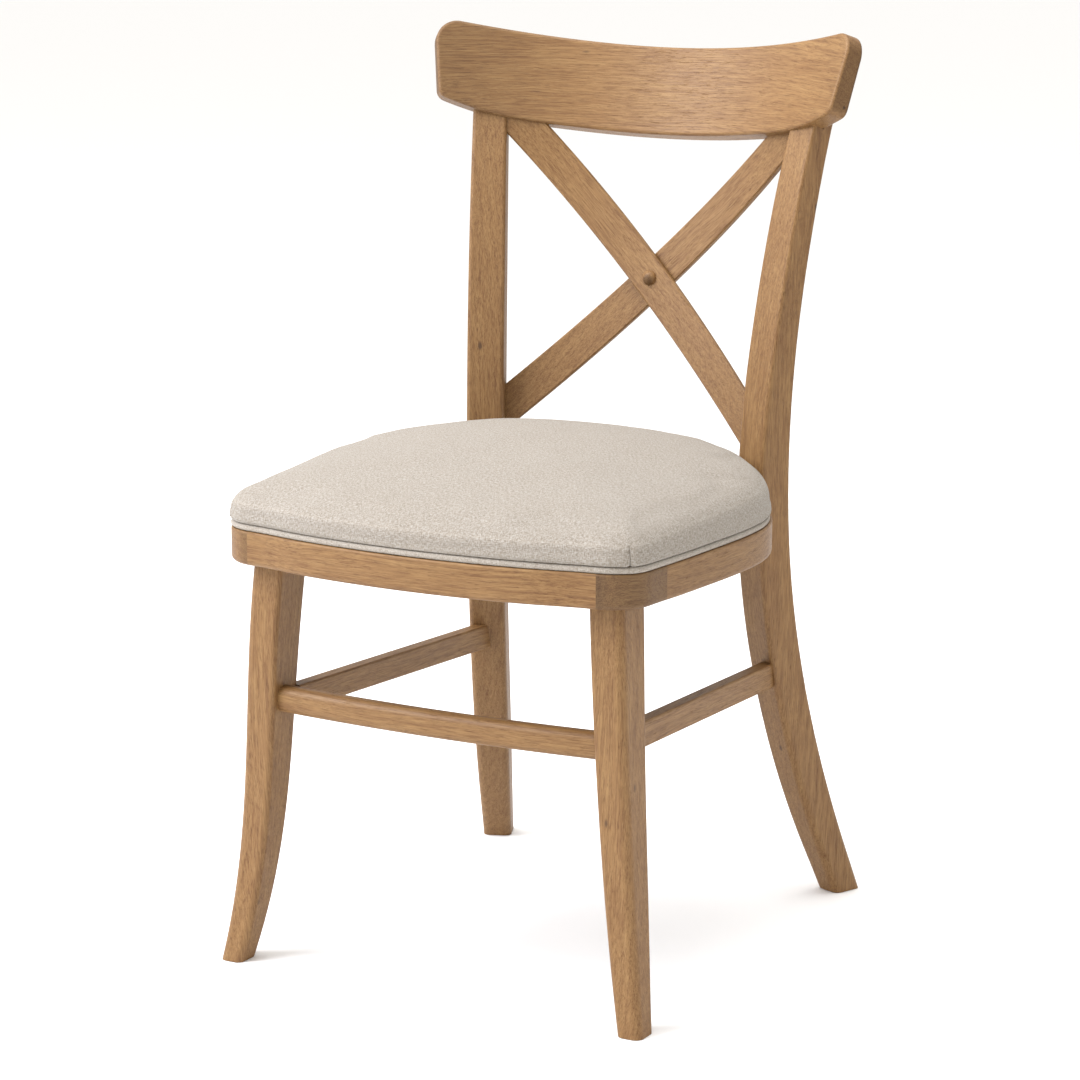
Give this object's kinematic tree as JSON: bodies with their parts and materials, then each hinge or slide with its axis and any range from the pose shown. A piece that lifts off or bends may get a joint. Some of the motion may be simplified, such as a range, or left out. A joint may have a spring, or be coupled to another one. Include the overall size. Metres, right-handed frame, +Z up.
{
  "type": "dining chair",
  "caption": "Wooden dining chair with a curved crest rail, crossed back slats, splayed legs, stretchers and an upholstered seat with a piped edge.",
  "frame": {"origin": "on the floor, under the middle of the chair's bounding box", "axes": "+Z up; -Y is the front, where a person's legs hang; +X is the chair's right side as seen from the front of the picture, the nearer side"},
  "size_m": [0.4796, 0.5602, 0.8855],
  "materials": {
    "oak": "matte light golden brown oak with a straight open grain",
    "linen": "beige linen weave",
    "foam": "upholstery foam",
    "plywood": "raw birch plywood",
    "dowel_beech": "raw beech",
    "fixing_steel": "zinc plated steel",
    "dust_cloth": "thin black non-woven cloth"
  },
  "bodies": {
    "root": {"rear_post_left": "oak", "rear_post_right": "oak", "front_leg_left": "oak", "front_leg_right": "oak", "crest_rail": "oak", "cross_slat_front": "oak", "cross_slat_back": "oak", "cross_button": "oak", "cross_screw": "fixing_steel", "seat_front_rail": "oak", "seat_side_rail_left": "oak", "seat_side_rail_right": "oak", "seat_rear_rail": "oak", "seat_corner_front_left": "oak", "seat_corner_front_right": "oak", "seat_corner_rear_left": "oak", "seat_corner_rear_right": "oak", "front_stretcher": "oak", "side_stretcher_left": "oak", "side_stretcher_right": "oak", "seat_ring_dowels": "dowel_beech", "post_bolts": "fixing_steel", "seat_screws": "fixing_steel", "seat_board": "plywood", "seat_foam": "foam", "seat_cover": "linen", "seat_welt": "linen", "seat_dust_cloth": "dust_cloth"}
  },
  "joints": []
}
